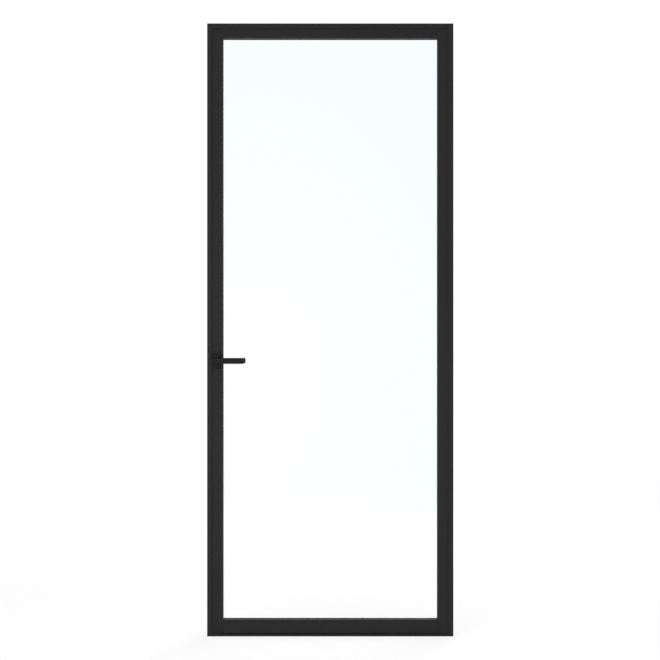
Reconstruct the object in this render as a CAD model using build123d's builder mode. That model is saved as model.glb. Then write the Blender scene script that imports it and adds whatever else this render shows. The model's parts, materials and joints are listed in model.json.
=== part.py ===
from build123d import *
from math import atan2, cos, degrees, hypot, radians, sin
import os

os.makedirs("parts", exist_ok=True)

# Overall size of the fixed frame; the front looks to -Y and the sill stands on Z = 0
overall_width = 930.0
overall_height = 2315.0

# Fixed frame: an extruded channel with its open side to the wall
web_wall = 4.0
lip_cover = 8.0
lip_wall = 1.5
flange_wall = 3.0
sill_height = 8.0
sill_chamfer = 1.5
groove_count = 5
groove_pitch = 6.0
groove_width = 2.0
groove_depth = 1.0

# Gaps between frame and leaf
edge_gap = 3.0
floor_gap = 4.0
seal_gap = 2.0
soft_clearance = 0.3

# Leaf: extruded stiles and rails with a glazing rebate at the back
leaf_thickness = 40.0
stile_face = 46.5
top_rail_face = 42.0
bottom_rail_face = 50.5
rebate = 12.0
tube_wall = 2.0
edge_wall = 4.0
edge_round = 0.5

# Pane, gaskets and glazing beads
glass_thickness = 8.0
glass_bite = 8.0
glass_arris = 1.0
gasket_thickness = 4.0
gasket_inset = 0.5
bead_wall = 1.6
block_length = 60.0

# Running and seating clearances
slip_fit = 0.1
running_fit = 0.05
seat_fit = 0.2

# Frame seal
seal_foot = 0.8
seal_width = 5.5

# Bottom seal in a slot of the bottom rail
slot_depth = 6.0
slot_width = 12.0
slot_mouth = 8.0
bottom_seal_foot = 3.0

# Butt hinges
hinge_height = 90.0
hinge_end_distance = 250.0
knuckle_count = 5
knuckle_radius = 6.0
knuckle_gap = 1.2
pin_radius = 3.0
pin_cap_radius = 5.0
pin_cap_height = 3.0
plate_thickness = 2.5
plate_reach = 30.0
back_offset = 0.5
hinge_screw_radius = 2.1
hinge_screw_head = 4.2
hinge_screw_length = 9.0
hinge_screw_pitch = 30.0
backing_thickness = 3.0
backing_width = 24.0

# Lever set
lever_height = 1040.0
backset = 22.0
lever_travel = 45.0
grip_length = 115.0
grip_height = 20.0
grip_thickness = 10.0
grip_round = 2.0
neck_radius = 9.0
neck_length = 30.0
journal_radius = 7.0
bush_radius = 8.5
rose_width = 30.0
rose_height = 56.0
rose_depth = 7.0
rose_wall = 1.5
rose_round = 2.0
base_depth = 4.5
rose_screw_offset = 19.0
spindle_size = 7.0
spindle_bite = 28.0

# Lock
latch_throw = 10.5
latch_width = 10.0
latch_height = 18.0
latch_inside = 14.0
latch_nose = 2.5
tab_start = 16.5
case_depth = 28.0
case_width = 16.0
case_wall = 1.5
case_margin = 8.0
case_foot = 14.0
faceplate_thickness = 3.0
faceplate_width = 20.0
faceplate_length = 130.0
lock_screw_radius = 1.75
lock_screw_head = 3.4
lock_screw_length = 10.0
cover_screw_radius = 1.2
follower_radius = 7.2
boss_radius = 6.2
arm_radius = 1.8
arm_neck = 2.4
arm_clearance = 0.6
arm_width = 4.0
tab_thickness = 2.0
spring_wire = 0.7
spring_radius = 3.2
spring_turns = 5
spring_flats = 6

# Strike
strike_thickness = 2.0
strike_width = 24.0
strike_length = 80.0
box_wall = 1.0
tip_room = 1.4

# Fixing holes to the wall, one row on each jamb
fixing_count = 4
fixing_end_distance = 150.0
fixing_radius = 2.75
fixing_head_radius = 5.0

# Places worked out from the sizes
half_width = overall_width / 2
web_reach = latch_throw - edge_gap + tip_room + box_wall + slip_fit
lip_reach = web_reach + lip_cover
leaf_front = -leaf_thickness / 2
leaf_back = leaf_thickness / 2
frame_front = leaf_front - seal_gap - lip_wall
frame_back = leaf_back
web_face = half_width - web_reach
web_back = web_face + web_wall
lip_edge = half_width - lip_reach
leaf_half = web_face - edge_gap
leaf_bottom = sill_height + floor_gap
leaf_top = overall_height - web_reach - edge_gap
leaf_height = leaf_top - leaf_bottom
stile_box = stile_face - rebate
opening_half = leaf_half - stile_face
opening_bottom = leaf_bottom + bottom_rail_face
opening_top = leaf_top - top_rail_face
opening_middle = (opening_bottom + opening_top) / 2
rebate_half = opening_half + rebate
rebate_bottom = opening_bottom - rebate
rebate_top = opening_top + rebate
glass_front = -glass_thickness / 2
flange_back = glass_front - gasket_thickness
bead_front = -flange_back
pin_x = leaf_half + edge_gap / 2
pin_y = leaf_back + knuckle_radius + back_offset
hinge_levels = [
    hinge_end_distance,
    overall_height / 2,
    overall_height - hinge_end_distance,
]
hinge_names = ["bottom", "middle", "top"]
lever_x = -leaf_half + backset


# One member's plane: local X runs inwards from its outer edge, local Y is the depth
def left_plane(reach, start):
    return Plane(origin=(-reach, 0, start), x_dir=(1, 0, 0), z_dir=(0, 0, 1))


def right_plane(reach, end):
    return Plane(origin=(reach, 0, end), x_dir=(-1, 0, 0), z_dir=(0, 0, -1))


def top_plane(level, half):
    return Plane(origin=(-half, 0, level), x_dir=(0, 0, -1), z_dir=(1, 0, 0))


def bottom_plane(level, half):
    return Plane(origin=(half, 0, level), x_dir=(0, 0, 1), z_dir=(-1, 0, 0))


# A block given by its lowest and highest corners
def block(low, high, mode=Mode.ADD):
    size = [b - a for a, b in zip(low, high)]
    centre = [(a + b) / 2 for a, b in zip(low, high)]
    with Locations(tuple(centre)):
        Box(*size, mode=mode)


def finish(piece, name):
    piece.part.label = name
    export_step(piece.part, f"parts/{name}.step")


# Breaks the corners of the open sketch that lie at one of the given places
def round_corners(*places):
    corners = [
        corner
        for corner in vertices()
        if any(hypot(corner.X - x, corner.Y - y) < slip_fit for x, y in places)
    ]
    fillet(corners, radius=edge_round)


# Fixed frame
def channel_section():
    Polygon(
        (0, frame_front),
        (lip_reach, frame_front),
        (lip_reach, frame_front + lip_wall),
        (web_reach, frame_front + lip_wall),
        (web_reach, frame_back),
        (0, frame_back),
        (0, frame_back - flange_wall),
        (web_reach - web_wall, frame_back - flange_wall),
        (web_reach - web_wall, frame_front + lip_wall),
        (0, frame_front + lip_wall),
        align=None,
    )
    round_corners((lip_reach, frame_front), (web_reach, frame_back))


fixing_pitch = (overall_height - 2 * fixing_end_distance) / (fixing_count - 1)
fixing_levels = [fixing_end_distance + i * fixing_pitch for i in range(fixing_count)]
corner_screw_radius = 1.75
corner_head_radius = 2.8
corner_head_height = 2.5
corner_screw_length = 22.0
cleat_length = 40.0
cleat_thickness = web_reach - web_wall - 2 * slip_fit
cleat_level = overall_height - slip_fit - cleat_thickness / 2
corner_screw_rows = [frame_front / 2, frame_back / 2]


# Screws that enter the head's cleats and the sill's ends through the webs
def corner_screw_places(side):
    places = []
    for level in (sill_height / 2, cleat_level):
        for row in corner_screw_rows:
            places.append(Plane(origin=(side * web_back, row, level), z_dir=(side, 0, 0)))
    return places


def cut_jamb_holes(side):
    inner = [Plane(origin=(side * web_face, 0, level), z_dir=(-side, 0, 0)) for level in fixing_levels]
    with Locations(*inner):
        CounterSinkHole(fixing_radius, fixing_head_radius, depth=web_wall)
    with Locations(*corner_screw_places(side)):
        Hole(corner_screw_radius + slip_fit, depth=web_wall)


# The follower's arm pushes the latch's tab; both places count from the follower's axis
arm_start = tab_start - backset - slip_fit - arm_radius
arm_end = arm_start + latch_throw - slip_fit
arm_rise = (arm_end - arm_start * cos(radians(lever_travel))) / sin(radians(lever_travel))
arm_reach = hypot(arm_start, arm_rise)
arm_angle = degrees(atan2(arm_start, arm_rise))
latch_level = lever_height + arm_reach + arm_radius + arm_clearance + latch_height / 2
latch_top = latch_level + latch_height / 2
case_bottom = lever_height - case_foot
case_top = latch_top + case_margin
case_front_x = -leaf_half + faceplate_thickness
case_back_x = case_front_x + case_depth
faceplate_bottom = (case_bottom + case_top - faceplate_length) / 2
faceplate_top = faceplate_bottom + faceplate_length
faceplate_screw_levels = [faceplate_bottom + 12, faceplate_top - 12]
strike_bottom = latch_level - strike_length / 2
strike_screw_levels = [strike_bottom + 9, strike_bottom + strike_length - 9]
strike_screw_length = 7.0
latch_hole_margin = 1.0
dust_box_margin = 3.0

with BuildPart() as jamb_lock:
    with BuildSketch(left_plane(half_width, 0)):
        channel_section()
    extrude(amount=overall_height)
    cut_jamb_holes(-1)
    block(
        (-web_face - strike_thickness, -strike_width / 2 - slip_fit, strike_bottom - slip_fit),
        (-web_face, strike_width / 2 + slip_fit, strike_bottom + strike_length + slip_fit),
        Mode.SUBTRACT,
    )
    block(
        (-web_back, -latch_width / 2 - 2, latch_level - latch_height / 2 - 2),
        (-web_face, latch_width / 2 + 2, latch_level + latch_height / 2 + 2),
        Mode.SUBTRACT,
    )
    with Locations(*[Plane(origin=(-web_face, 0, z), z_dir=(1, 0, 0)) for z in strike_screw_levels]):
        Hole(lock_screw_radius + slip_fit, depth=web_wall)
finish(jamb_lock, "jamb_lock")


# Screw places on a hinge plate, staggered in two rows
def hinge_screw_places(level, x, normal):
    rows = [leaf_back - 0.35 * plate_reach, leaf_back - 0.7 * plate_reach, leaf_back - 0.35 * plate_reach]
    steps = [-hinge_screw_pitch, 0, hinge_screw_pitch]
    return [Plane(origin=(x, y, level + step), z_dir=(normal, 0, 0)) for y, step in zip(rows, steps)]


plate_bottom_y = leaf_back - plate_reach

with BuildPart() as jamb_hinge:
    with BuildSketch(right_plane(half_width, overall_height)):
        channel_section()
    extrude(amount=overall_height)
    cut_jamb_holes(1)
    for level in hinge_levels:
        block(
            (web_face, plate_bottom_y, level - hinge_height / 2 - slip_fit),
            (web_face + plate_thickness, frame_back, level + hinge_height / 2 + slip_fit),
            Mode.SUBTRACT,
        )
        with Locations(*hinge_screw_places(level, web_face, -1)):
            Hole(hinge_screw_radius, depth=web_wall)
finish(jamb_hinge, "jamb_hinge")


# The head and the sill run between the webs and are notched round the jambs' lips
def notch_lips(low, high):
    for side in (-1, 1):
        ends = sorted([side * lip_edge, side * (web_face + 1)])
        block((ends[0], frame_front - 1, low - 1), (ends[1], frame_front + lip_wall, high + 1), Mode.SUBTRACT)


with BuildPart() as head:
    with BuildSketch(top_plane(overall_height, web_face)):
        channel_section()
    extrude(amount=2 * web_face)
    notch_lips(overall_height - lip_reach, overall_height)
finish(head, "head")

with BuildPart() as sill:
    with BuildSketch(bottom_plane(0, web_face)):
        Polygon(
            (0, frame_front),
            (sill_height - sill_chamfer, frame_front),
            (sill_height, frame_front + sill_chamfer),
            (sill_height, frame_back - sill_chamfer),
            (sill_height - sill_chamfer, frame_back),
            (0, frame_back),
            align=None,
        )
        with Locations((sill_height - groove_depth / 2, 0)):
            with GridLocations(groove_pitch, groove_pitch, 1, groove_count):
                Rectangle(groove_depth, groove_width, mode=Mode.SUBTRACT)
    extrude(amount=2 * web_face)
    notch_lips(0, sill_height)
    for side in (-1, 1):
        with Locations(*[
            Plane(origin=(side * web_face, row, sill_height / 2), z_dir=(side, 0, 0))
            for row in corner_screw_rows
        ]):
            Hole(corner_screw_radius, depth=corner_screw_length)
finish(sill, "sill")

with BuildPart() as frame_corner_cleats:
    for side in (-1, 1):
        ends = sorted([side * web_face, side * (web_face - cleat_length)])
        block(
            (ends[0], frame_front + lip_wall + slip_fit, cleat_level - cleat_thickness / 2),
            (ends[1], frame_back - flange_wall - slip_fit, cleat_level + cleat_thickness / 2),
        )
        with Locations(*[
            Plane(origin=(side * web_face, row, cleat_level), z_dir=(side, 0, 0))
            for row in corner_screw_rows
        ]):
            Hole(corner_screw_radius, depth=corner_screw_length)
finish(frame_corner_cleats, "frame_corner_cleats")


# A pan head screw on a plane: the head stands on the plane and the shank goes down
def pan_screw(place, head_radius, head_height, shank_radius, length):
    with Locations(place):
        Cylinder(head_radius, head_height, align=(Align.CENTER, Align.CENTER, Align.MIN))
        Cylinder(shank_radius, length, align=(Align.CENTER, Align.CENTER, Align.MAX))


# A countersunk screw with its flat head level with the plane
def flat_screw(place, head_radius, shank_radius, length):
    hanging = (Align.CENTER, Align.CENTER, Align.MAX)
    with Locations(place):
        Cone(shank_radius, head_radius, head_radius - shank_radius, align=hanging)
        Cylinder(shank_radius, length, align=hanging)


with BuildPart() as frame_corner_screws:
    for side in (-1, 1):
        for place in corner_screw_places(side):
            pan_screw(place, corner_head_radius, corner_head_height, corner_screw_radius, corner_screw_length)
finish(frame_corner_screws, "frame_corner_screws")


# Rubber stop seals: a flat foot on the lip's back and a round bulb towards the leaf
bulb_radius = (seal_gap - soft_clearance - slip_fit) / 2


def seal_section():
    foot_front = frame_front + lip_wall
    bulb_top = leaf_front - soft_clearance
    with Locations((web_reach + slip_fit + seal_width / 2, foot_front + seal_foot / 2)):
        Rectangle(seal_width, seal_foot)
    with Locations((web_reach + slip_fit + seal_width - bulb_radius, bulb_top - bulb_radius)):
        Circle(bulb_radius)


seal_top = overall_height - web_reach - slip_fit

with BuildPart() as seal_lock:
    with BuildSketch(left_plane(half_width, sill_height + slip_fit)):
        seal_section()
    extrude(amount=seal_top - sill_height - slip_fit)
finish(seal_lock, "seal_lock")

with BuildPart() as seal_hinge:
    with BuildSketch(right_plane(half_width, seal_top)):
        seal_section()
    extrude(amount=seal_top - sill_height - slip_fit)
finish(seal_hinge, "seal_hinge")

seal_head_half = web_face - 2 * slip_fit - seal_width

with BuildPart() as seal_head:
    with BuildSketch(top_plane(overall_height, seal_head_half)):
        seal_section()
    extrude(amount=2 * seal_head_half)
finish(seal_head, "seal_head")

# Strike plate, its screws and the dust box in the channel behind it
with BuildPart() as strike_plate:
    block(
        (-web_face - strike_thickness, -strike_width / 2, strike_bottom),
        (-web_face, strike_width / 2, strike_bottom + strike_length),
    )
    fillet(strike_plate.edges().filter_by(Axis.X), radius=3)
    block(
        (-web_back, -latch_width / 2 - latch_hole_margin, latch_level - latch_height / 2 - latch_hole_margin),
        (-web_face, latch_width / 2 + latch_hole_margin, latch_level + latch_height / 2 + latch_hole_margin),
        Mode.SUBTRACT,
    )
    with Locations(*[Plane(origin=(-web_face, 0, z), z_dir=(1, 0, 0)) for z in strike_screw_levels]):
        CounterSinkHole(lock_screw_radius, lock_screw_head, depth=strike_thickness)
finish(strike_plate, "strike_plate")

with BuildPart() as strike_box:
    box_half_width = latch_width / 2 + dust_box_margin
    box_half_height = latch_height / 2 + dust_box_margin
    box_outer = -half_width + slip_fit
    block(
        (box_outer, -box_half_width, latch_level - box_half_height),
        (-web_back, box_half_width, latch_level + box_half_height),
    )
    block(
        (box_outer + box_wall, -box_half_width + box_wall, latch_level - box_half_height + box_wall),
        (-web_back, box_half_width - box_wall, latch_level + box_half_height - box_wall),
        Mode.SUBTRACT,
    )
finish(strike_box, "strike_box")

with BuildPart() as strike_screws:
    for level in strike_screw_levels:
        flat_screw(
            Plane(origin=(-web_face, 0, level), z_dir=(1, 0, 0)),
            lock_screw_head,
            lock_screw_radius,
            strike_screw_length,
        )
finish(strike_screws, "strike_screws")

# Butt hinges: five knuckles, three on the frame's plate and two on the leaf's
knuckle_height = (hinge_height - (knuckle_count - 1) * knuckle_gap) / knuckle_count


def knuckle_start(level, index):
    return level - hinge_height / 2 + index * (knuckle_height + knuckle_gap)


def make_hinge_plate(level, face_x, side, first):
    ends = sorted([face_x, face_x + side * plate_thickness])
    with BuildPart() as plate:
        block(
            (ends[0], plate_bottom_y, level - hinge_height / 2),
            (ends[1], leaf_back, level + hinge_height / 2),
        )
        for index in range(first, knuckle_count, 2):
            low = knuckle_start(level, index)
            block((ends[0], leaf_back, low), (ends[1], pin_y, low + knuckle_height))
            with Locations((pin_x, pin_y, low)):
                Cylinder(knuckle_radius, knuckle_height, align=(Align.CENTER, Align.CENTER, Align.MIN))
        with Locations((pin_x, pin_y, level)):
            Cylinder(pin_radius + running_fit, hinge_height + 2, mode=Mode.SUBTRACT)
        with Locations(*hinge_screw_places(level, face_x, -side)):
            CounterSinkHole(hinge_screw_radius, hinge_screw_head, depth=plate_thickness)
    return plate


for hinge_name, hinge_level in zip(hinge_names, hinge_levels):
    frame_plate = make_hinge_plate(hinge_level, web_face, 1, 0)
    finish(frame_plate, f"hinge_{hinge_name}_frame_plate")
    leaf_plate = make_hinge_plate(hinge_level, leaf_half, -1, 1)
    finish(leaf_plate, f"hinge_{hinge_name}_leaf_plate")

with BuildPart() as hinge_pins:
    with Locations(*[(pin_x, pin_y, level) for level in hinge_levels]):
        Cylinder(pin_radius, hinge_height)
    cap_middle = hinge_height / 2 + pin_cap_height / 2
    with Locations(*[(pin_x, pin_y, level + end * cap_middle) for level in hinge_levels for end in (-1, 1)]):
        Cylinder(pin_cap_radius, pin_cap_height)
finish(hinge_pins, "hinge_pins")

with BuildPart() as hinge_washers:
    washer_levels = [
        knuckle_start(level, index + 1) - knuckle_gap / 2
        for level in hinge_levels
        for index in range(knuckle_count - 1)
    ]
    with Locations(*[(pin_x, pin_y, level) for level in washer_levels]):
        Cylinder(knuckle_radius - back_offset, knuckle_gap - 2 * slip_fit)
        Cylinder(pin_radius + running_fit, knuckle_gap, mode=Mode.SUBTRACT)
finish(hinge_washers, "hinge_washers")


def make_hinge_screws(face_x, side):
    with BuildPart() as screws:
        for level in hinge_levels:
            for place in hinge_screw_places(level, face_x, -side):
                flat_screw(place, hinge_screw_head, hinge_screw_radius, hinge_screw_length)
    return screws


def make_backing_plates(face_x, side):
    ends = sorted([face_x, face_x + side * backing_thickness])
    with BuildPart() as plates:
        for level in hinge_levels:
            block(
                (ends[0], plate_bottom_y + 1, level - hinge_height / 2),
                (ends[1], plate_bottom_y + 1 + backing_width, level + hinge_height / 2),
            )
            with Locations(*hinge_screw_places(level, face_x, -side)):
                Hole(hinge_screw_radius, depth=backing_thickness)
    return plates


finish(make_hinge_screws(web_face, 1), "frame_hinge_screws")
finish(make_hinge_screws(leaf_half, -1), "leaf_hinge_screws")
finish(make_backing_plates(web_back, 1), "frame_backing_plates")
finish(make_backing_plates(leaf_half - edge_wall, -1), "leaf_backing_plates")


# Leaf: one L-shaped extrusion with a chamber behind the edge and one in the glazing flange
def leaf_section(face, outer_wall):
    member_box = face - rebate
    Polygon(
        (0, leaf_front),
        (face, leaf_front),
        (face, flange_back),
        (member_box, flange_back),
        (member_box, leaf_back),
        (0, leaf_back),
        align=None,
    )
    round_corners((0, leaf_front), (face, leaf_front), (member_box, leaf_back), (0, leaf_back))
    with Locations(((outer_wall + member_box - tube_wall) / 2, 0)):
        Rectangle(member_box - tube_wall - outer_wall, leaf_thickness - 2 * tube_wall, mode=Mode.SUBTRACT)
    flange_depth = flange_back - leaf_front - 2 * tube_wall
    with Locations(((member_box + face - tube_wall) / 2, (leaf_front + flange_back) / 2)):
        Rectangle(rebate - tube_wall, flange_depth, mode=Mode.SUBTRACT)


slot_block = slot_depth + 2 * tube_wall
top_chamber = (leaf_top - top_rail_face + rebate + tube_wall, leaf_top - tube_wall)
bottom_chamber = (leaf_bottom + slot_block, leaf_bottom + bottom_rail_face - rebate - tube_wall)
connector_levels = [sum(bottom_chamber) / 2, sum(top_chamber) / 2]
connector_length = 40.0
rail_screw_pitch = 12.0
connector_middle = (flange_back + leaf_back - tube_wall) / 2
rail_screw_rows = [connector_middle - rail_screw_pitch / 2, connector_middle + rail_screw_pitch / 2]
rail_screw_radius = 2.5
rail_screw_head = 4.2
rail_screw_head_height = 3.0
rail_screw_length = 25.0
access_radius = 4.5


def rail_screw_places(side, x):
    return [
        Plane(origin=(side * x, row, level), z_dir=(side, 0, 0))
        for level in connector_levels
        for row in rail_screw_rows
    ]


def cut_stile_holes(side):
    with Locations(*rail_screw_places(side, leaf_half)):
        Hole(access_radius, depth=edge_wall)
    with Locations(*rail_screw_places(side, rebate_half + tube_wall)):
        Hole(rail_screw_radius + slip_fit, depth=tube_wall)


with BuildPart() as stile_lock:
    with BuildSketch(left_plane(leaf_half, leaf_bottom)):
        leaf_section(stile_face, edge_wall)
    extrude(amount=leaf_height)
    cut_stile_holes(-1)
    block(
        (-leaf_half, -faceplate_width / 2 - slip_fit, faceplate_bottom - slip_fit),
        (case_front_x, faceplate_width / 2 + slip_fit, faceplate_top + slip_fit),
        Mode.SUBTRACT,
    )
    block(
        (-leaf_half, -case_width / 2 - seat_fit, case_bottom - seat_fit),
        (-leaf_half + edge_wall, case_width / 2 + seat_fit, case_top + seat_fit),
        Mode.SUBTRACT,
    )
    with Locations(*[Plane(origin=(case_front_x, 0, z), z_dir=(-1, 0, 0)) for z in faceplate_screw_levels]):
        Hole(lock_screw_radius, depth=edge_wall - faceplate_thickness)
    for side in (-1, 1):
        with Locations(Plane(origin=(lever_x, side * leaf_back, lever_height), z_dir=(0, side, 0))):
            Hole(bush_radius + slip_fit, depth=tube_wall)
        with Locations(*[
            Plane(origin=(lever_x, side * leaf_back, lever_height + step), z_dir=(0, side, 0))
            for step in (-rose_screw_offset, rose_screw_offset)
        ]):
            Hole(lock_screw_radius, depth=tube_wall)
finish(stile_lock, "stile_lock")

with BuildPart() as stile_hinge:
    with BuildSketch(right_plane(leaf_half, leaf_top)):
        leaf_section(stile_face, edge_wall)
    extrude(amount=leaf_height)
    cut_stile_holes(1)
    for level in hinge_levels:
        block(
            (leaf_half - plate_thickness, plate_bottom_y, level - hinge_height / 2 - slip_fit),
            (leaf_half, leaf_back, level + hinge_height / 2 + slip_fit),
            Mode.SUBTRACT,
        )
        with Locations(*hinge_screw_places(level, leaf_half, 1)):
            Hole(hinge_screw_radius, depth=edge_wall)
finish(stile_hinge, "stile_hinge")


# The rails butt between the stiles and are notched round the stiles' front flanges
def notch_flanges(low, high):
    for side in (-1, 1):
        ends = sorted([side * opening_half, side * (rebate_half + 1)])
        block((ends[0], leaf_front - 1, low - 1), (ends[1], flange_back, high + 1), Mode.SUBTRACT)


with BuildPart() as rail_top:
    with BuildSketch(top_plane(leaf_top, rebate_half)):
        leaf_section(top_rail_face, tube_wall)
    extrude(amount=2 * rebate_half)
    notch_flanges(opening_top, leaf_top)
finish(rail_top, "rail_top")

with BuildPart() as rail_bottom:
    with BuildSketch(bottom_plane(leaf_bottom, rebate_half)):
        leaf_section(bottom_rail_face, tube_wall)
        with Locations((slot_block / 2, 0)):
            Rectangle(slot_block, slot_width + 2 * tube_wall)
        with Locations((tube_wall + slot_depth / 2, 0)):
            Rectangle(slot_depth, slot_width, mode=Mode.SUBTRACT)
        with Locations((tube_wall / 2, 0)):
            Rectangle(tube_wall, slot_mouth, mode=Mode.SUBTRACT)
    extrude(amount=2 * rebate_half)
    notch_flanges(leaf_bottom, opening_bottom)
finish(rail_bottom, "rail_bottom")

with BuildPart() as rail_connectors:
    for chamber in (bottom_chamber, top_chamber):
        for side in (-1, 1):
            ends = sorted([side * rebate_half, side * (rebate_half - connector_length)])
            block(
                (ends[0], flange_back + slip_fit, chamber[0] + slip_fit),
                (ends[1], leaf_back - tube_wall - slip_fit, chamber[1] - slip_fit),
            )
    for side in (-1, 1):
        with Locations(*rail_screw_places(side, rebate_half)):
            Hole(rail_screw_radius, depth=connector_length)
finish(rail_connectors, "rail_connectors")

with BuildPart() as rail_screws:
    for side in (-1, 1):
        for place in rail_screw_places(side, rebate_half + tube_wall):
            pan_screw(place, rail_screw_head, rail_screw_head_height, rail_screw_radius, rail_screw_length)
finish(rail_screws, "rail_screws")

cap_depth = 8.0

with BuildPart() as stile_end_caps:
    cap_inner = leaf_half - stile_box + tube_wall + slip_fit
    cap_outer = leaf_half - edge_wall - slip_fit
    cap_half = leaf_thickness / 2 - tube_wall - slip_fit
    for low in (leaf_bottom, leaf_top - cap_depth):
        for side in (-1, 1):
            ends = sorted([side * cap_inner, side * cap_outer])
            block((ends[0], -cap_half, low), (ends[1], cap_half, low + cap_depth))
finish(stile_end_caps, "stile_end_caps")

# Bottom seal: a foot in the rail's slot and a tapered rubber tongue above the sill
with BuildPart() as bottom_seal:
    foot_low = tube_wall + slip_fit
    tongue_end = -(floor_gap - soft_clearance)
    mouth_half = slot_mouth / 2 - seat_fit
    foot_half = slot_width / 2 - seat_fit
    with BuildSketch(bottom_plane(leaf_bottom, rebate_half)):
        Polygon(
            (tongue_end, -mouth_half / 2),
            (0, -mouth_half),
            (foot_low, -mouth_half),
            (foot_low, -foot_half),
            (foot_low + bottom_seal_foot, -foot_half),
            (foot_low + bottom_seal_foot, foot_half),
            (foot_low, foot_half),
            (foot_low, mouth_half),
            (0, mouth_half),
            (tongue_end, mouth_half / 2),
            align=None,
        )
    extrude(amount=2 * rebate_half)
finish(bottom_seal, "bottom_seal")

# Pane, setting blocks, gaskets and glazing beads
glass_half = opening_half + glass_bite
glass_bottom = opening_bottom - glass_bite
glass_top = opening_top + glass_bite
glass_gap = rebate - glass_bite

with BuildPart() as glass_pane:
    block((-glass_half, glass_front, glass_bottom), (glass_half, -glass_front, glass_top))
    chamfer(glass_pane.edges(), length=glass_arris)
finish(glass_pane, "glass_pane")

with BuildPart() as setting_blocks:
    block_half = block_length / 2
    for side in (-1, 1):
        middle = side * opening_half / 2
        block(
            (middle - block_half, glass_front, rebate_bottom),
            (middle + block_half, -glass_front, rebate_bottom + glass_gap),
        )
        ends = sorted([side * glass_half, side * (glass_half + glass_gap)])
        for level in (glass_bottom + hinge_end_distance, glass_top - hinge_end_distance):
            block((ends[0], glass_front, level - block_half), (ends[1], -glass_front, level + block_half))
finish(setting_blocks, "setting_blocks")


def make_gasket(front):
    inner_half = opening_half + gasket_inset
    inner_height = opening_top - opening_bottom + 2 * gasket_inset
    with BuildPart() as gasket:
        with BuildSketch(Plane.XZ.offset(-front)):
            with Locations((0, opening_middle)):
                Rectangle(2 * glass_half, glass_top - glass_bottom)
                Rectangle(2 * inner_half, inner_height, mode=Mode.SUBTRACT)
        extrude(amount=-gasket_thickness)
    return gasket


finish(make_gasket(flange_back), "front_gasket")
finish(make_gasket(-glass_front), "rear_gasket")


# Hollow snap-in bead with a bevelled inner corner
def bead_section(face):
    inner = face - rebate
    Polygon(
        (inner, bead_front),
        (face, bead_front),
        (face, leaf_back - bead_bevel),
        (face - bead_bevel, leaf_back),
        (inner, leaf_back),
        align=None,
    )
    with Locations((face - rebate / 2, (bead_front + leaf_back) / 2)):
        Rectangle(rebate - 2 * bead_wall, leaf_back - bead_front - 2 * bead_wall, mode=Mode.SUBTRACT)


bead_bevel = 1.5

with BuildPart() as bead_lock:
    with BuildSketch(left_plane(leaf_half, rebate_bottom)):
        bead_section(stile_face)
    extrude(amount=rebate_top - rebate_bottom)
finish(bead_lock, "bead_lock")

with BuildPart() as bead_hinge:
    with BuildSketch(right_plane(leaf_half, rebate_top)):
        bead_section(stile_face)
    extrude(amount=rebate_top - rebate_bottom)
finish(bead_hinge, "bead_hinge")

with BuildPart() as bead_top:
    with BuildSketch(top_plane(leaf_top, opening_half)):
        bead_section(top_rail_face)
    extrude(amount=2 * opening_half)
finish(bead_top, "bead_top")

with BuildPart() as bead_bottom:
    with BuildSketch(bottom_plane(leaf_bottom, opening_half)):
        bead_section(bottom_rail_face)
    extrude(amount=2 * opening_half)
finish(bead_bottom, "bead_bottom")

# Mortise lock: a case open to the back, its cover, the face plate and the screws
case_low_y = -case_width / 2
cover_y = case_width / 2 - case_wall
post_radius = 2.5
post_inset = case_wall + 0.8 * post_radius
post_places = [
    (x, z)
    for x in (case_front_x + post_inset, case_back_x - post_inset)
    for z in (case_bottom + post_inset, case_top - post_inset)
]


def cut_through_y(x, z, radius, low, high):
    with Locations(Location((x, (low + high) / 2, z), (90, 0, 0))):
        Cylinder(radius, high - low, mode=Mode.SUBTRACT)


with BuildPart() as lock_case:
    block((case_front_x, case_low_y, case_bottom), (case_back_x, cover_y, case_top))
    block(
        (case_front_x + case_wall, case_low_y + case_wall, case_bottom + case_wall),
        (case_back_x - case_wall, cover_y, case_top - case_wall),
        Mode.SUBTRACT,
    )
    for x, z in post_places:
        with Locations(Location((x, (case_low_y + cover_y) / 2, z), (90, 0, 0))):
            Cylinder(post_radius, cover_y - case_low_y)
        cut_through_y(x, z, cover_screw_radius, 0, cover_y)
    block(
        (case_front_x, -latch_width / 2 - slip_fit, latch_level - latch_height / 2 - slip_fit),
        (case_front_x + case_wall, latch_width / 2 + slip_fit, latch_top + slip_fit),
        Mode.SUBTRACT,
    )
    cut_through_y(lever_x, lever_height, boss_radius + running_fit, case_low_y, case_low_y + case_wall)
finish(lock_case, "lock_case")

with BuildPart() as lock_cover:
    block((case_front_x, cover_y, case_bottom), (case_back_x, case_width / 2, case_top))
    for x, z in post_places:
        cut_through_y(x, z, cover_screw_radius, cover_y, case_width / 2)
    cut_through_y(lever_x, lever_height, boss_radius + running_fit, cover_y, case_width / 2)
finish(lock_cover, "lock_cover")

with BuildPart() as lock_faceplate:
    block(
        (-leaf_half, -faceplate_width / 2, faceplate_bottom),
        (case_front_x, faceplate_width / 2, faceplate_top),
    )
    fillet(lock_faceplate.edges().filter_by(Axis.X), radius=1.5)
    block(
        (-leaf_half, -latch_width / 2 - slip_fit, latch_level - latch_height / 2 - slip_fit),
        (case_front_x, latch_width / 2 + slip_fit, latch_top + slip_fit),
        Mode.SUBTRACT,
    )
    with Locations(*[Plane(origin=(-leaf_half, 0, z), z_dir=(-1, 0, 0)) for z in faceplate_screw_levels]):
        CounterSinkHole(lock_screw_radius, lock_screw_head, depth=faceplate_thickness)
finish(lock_faceplate, "lock_faceplate")

cover_screw_head = 2.2
cover_screw_head_height = 1.2
cover_screw_length = 8.0

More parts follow.
